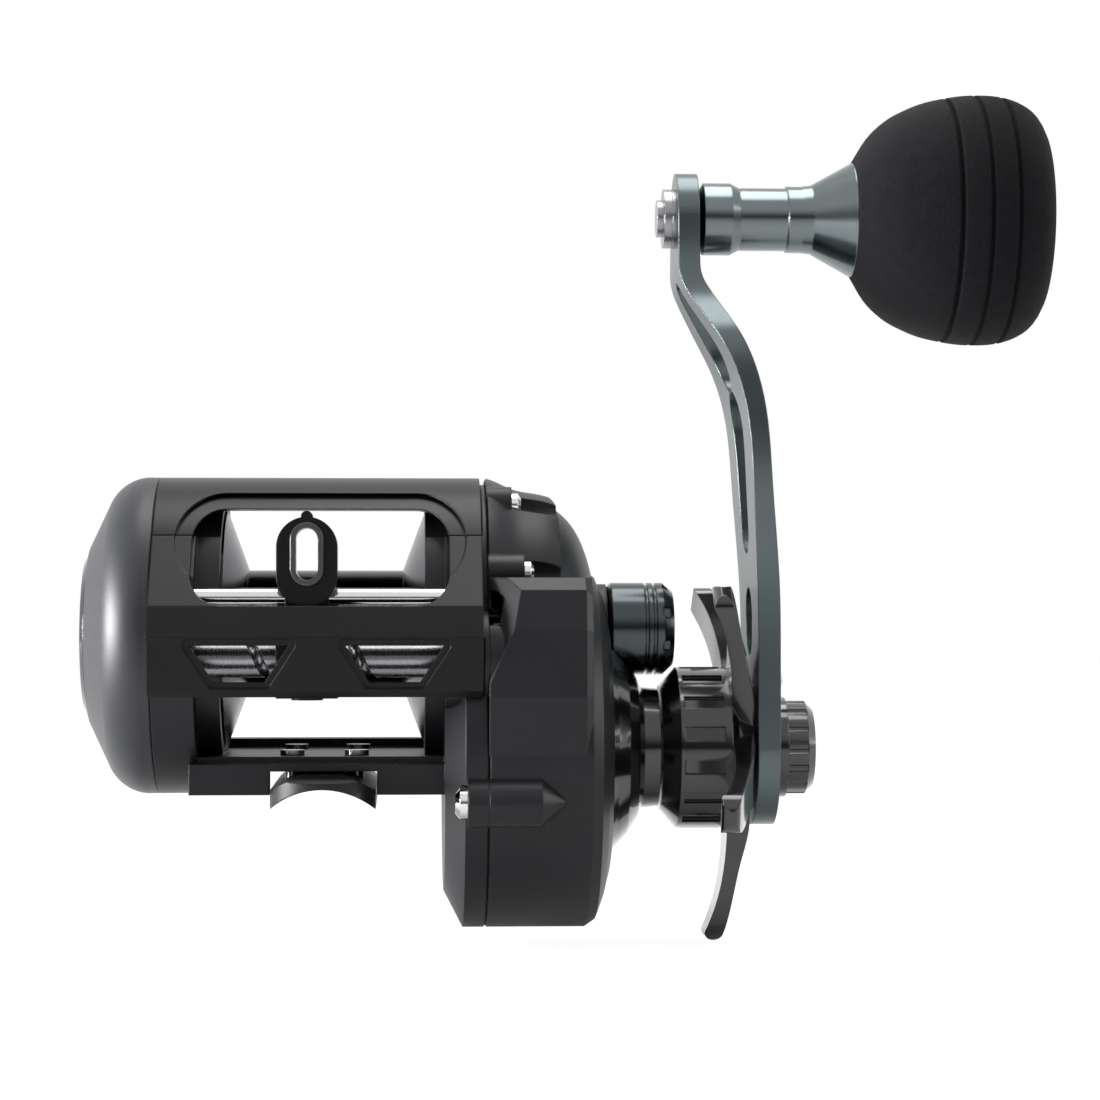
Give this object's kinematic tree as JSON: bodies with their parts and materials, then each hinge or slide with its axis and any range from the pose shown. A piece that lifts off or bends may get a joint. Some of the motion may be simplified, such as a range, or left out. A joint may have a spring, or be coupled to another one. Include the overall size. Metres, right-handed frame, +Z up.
{
  "type": "baitcasting reel",
  "caption": "Left-hand baitcasting fishing reel with level wind line guide, star drag, cast control cap, magnetic brake dial and a long crank with a round foam power knob.",
  "frame": {"origin": "apex of the concave saddle under the reel foot, at the foot's middle", "axes": "+X towards the handle side along the spool axis, -Y towards the line guide, +Z up away from the rod"},
  "size_m": [0.1525, 0.062, 0.1351],
  "materials": {
    "coated_black": "matte textured black coating",
    "cover_black": "satin moulded black composite",
    "gloss_black": "gloss black",
    "anodised_black": "gloss black anodised aluminium",
    "anodised_grey": "satin gunmetal anodised aluminium",
    "chrome": "polished chrome plate",
    "steel": "ground stainless steel",
    "brass": "machined brass",
    "foam": "closed cell foam",
    "carbon": "woven carbon friction disc",
    "acetal": "white acetal",
    "ceramic": "grey ceramic"
  },
  "bodies": {
    "frame": {"frame": "coated_black", "reel_foot": "coated_black", "foot_screws": "steel", "front_cover": "cover_black", "top_visor": "cover_black", "left_side_plate": "cover_black", "left_spool_bearing": "steel", "idler_pin": "steel", "pinion_bearing": "steel", "yoke_posts": "steel", "yoke_springs": "steel", "shaft_bushing": "brass", "one_way_clutch": "steel", "crank_bearing": "steel", "crank_bearing_housing": "gloss_black", "gear_cover": "coated_black", "right_spool_bearing": "steel", "cover_screws": "chrome", "worm_bushes": "acetal", "guide_rod": "chrome"},
    "drive": {"main_gear": "brass", "level_wind_drive_gear": "acetal", "drive_shaft": "steel", "drag_washers": "carbon", "keyed_washer": "steel", "pressure_plate": "steel", "spring_washers": "steel", "clutch_sleeve": "steel", "handle_arm": "anodised_grey", "nut_washer": "gloss_black", "handle_nut": "gloss_black", "nut_lock_screw": "chrome", "knob_spindle": "steel", "spindle_nut": "steel", "spindle_clip": "steel"},
    "star": {"star_wheel": "gloss_black", "star_nut": "brass"},
    "knob": {"knob_barrel": "anodised_grey", "knob_bearings": "steel", "knob_grip": "foam"},
    "spool": {"spool": "anodised_black", "spool_shaft": "steel", "spool_pin": "steel", "brake_rotor": "steel"},
    "idler": {"idler_gear": "acetal"},
    "worm": {"worm_shaft": "steel", "worm_gear": "acetal"},
    "line_guide": {"guide_carriage": "cover_black", "eye_insert": "ceramic", "pawl_cap": "cover_black"},
    "pawl": {"pawl": "brass"},
    "thumb_bar": {"thumb_bar": "cover_black"},
    "yoke": {"clutch_yoke": "steel"},
    "cam": {"clutch_cam": "acetal"},
    "pinion": {"pinion": "brass"},
    "tension_cap": {"tension_cap": "anodised_grey", "tension_washers": "brass"},
    "brake_dial": {"brake_dial": "gloss_black"},
    "magnet_carrier": {"magnet_carrier": "acetal", "brake_magnets": "chrome"}
  },
  "joints": [
    {"name": "crank_turn", "type": "hinge", "parent": "frame", "child": "drive", "pos_m": [0.06, -0.00199, 0.0051], "axis": [1, 0, 0], "continuous": true},
    {"name": "star_turn", "type": "hinge", "parent": "drive", "child": "star", "pos_m": [0.065, -0.00199, 0.0051], "axis": [1, 0, 0], "range_deg": [-150, 150]},
    {"name": "knob_spin", "type": "hinge", "parent": "drive", "child": "knob", "pos_m": [0.08, -0.00199, 0.0896], "axis": [1, 0, 0], "continuous": true},
    {"name": "spool_spin", "type": "hinge", "parent": "frame", "child": "spool", "pos_m": [0, 0, 0.024], "axis": [1, 0, 0], "continuous": true},
    {"name": "idler_spin", "type": "hinge", "parent": "frame", "child": "idler", "pos_m": [0.027, -0.01479, 0.01348], "axis": [1, 0, 0], "continuous": true},
    {"name": "worm_spin", "type": "hinge", "parent": "frame", "child": "worm", "pos_m": [0, -0.02408, 0.01956], "axis": [1, 0, 0], "continuous": true},
    {"name": "line_guide_slide", "type": "slide", "parent": "frame", "child": "line_guide", "axis": [1, 0, 0], "range_m": [-0.0082, 0.0128]},
    {"name": "pawl_swing", "type": "hinge", "parent": "line_guide", "child": "pawl", "pos_m": [-0.0023, -0.02408, 0], "axis": [0, 0, 1], "range_deg": [-25, 25]},
    {"name": "thumb_bar_press", "type": "slide", "parent": "frame", "child": "thumb_bar", "axis": [0, 0, -1], "range_m": [0, 0.0035]},
    {"name": "yoke_lift", "type": "slide", "parent": "frame", "child": "yoke", "axis": [1, 0, 0], "range_m": [0, 0.002], "deforming": ["yoke_springs"]},
    {"name": "cam_turn", "type": "hinge", "parent": "frame", "child": "cam", "pos_m": [0.026, 0, 0.024], "axis": [1, 0, 0], "range_deg": [0, 12]},
    {"name": "pinion_spin", "type": "hinge", "parent": "yoke", "child": "pinion", "pos_m": [0.03, 0, 0.024], "axis": [1, 0, 0], "continuous": true},
    {"name": "tension_cap_turn", "type": "hinge", "parent": "frame", "child": "tension_cap", "pos_m": [0.05, 0, 0.024], "axis": [1, 0, 0], "range_deg": [-180, 180]},
    {"name": "brake_dial_turn", "type": "hinge", "parent": "frame", "child": "brake_dial", "pos_m": [-0.038, -0.001, 0.023], "axis": [1, 0, 0], "range_deg": [0, 270]},
    {"name": "magnet_travel", "type": "slide", "parent": "frame", "child": "magnet_carrier", "axis": [1, 0, 0], "range_m": [0, 0.002]}
  ],
  "couplings": [
    {"joint": "spool_spin", "follows": "crank_turn", "ratio": -5.3333},
    {"joint": "pinion_spin", "follows": "crank_turn", "ratio": -5.3333},
    {"joint": "idler_spin", "follows": "crank_turn", "ratio": -1.4286},
    {"joint": "worm_spin", "follows": "crank_turn", "ratio": 1.875},
    {"joint": "yoke_lift", "follows": "thumb_bar_press", "ratio": 0.57143},
    {"joint": "cam_turn", "follows": "thumb_bar_press", "rad_per_m": 59.84},
    {"joint": "magnet_travel", "follows": "brake_dial_turn", "m_per_rad": 0.00042441}
  ]
}
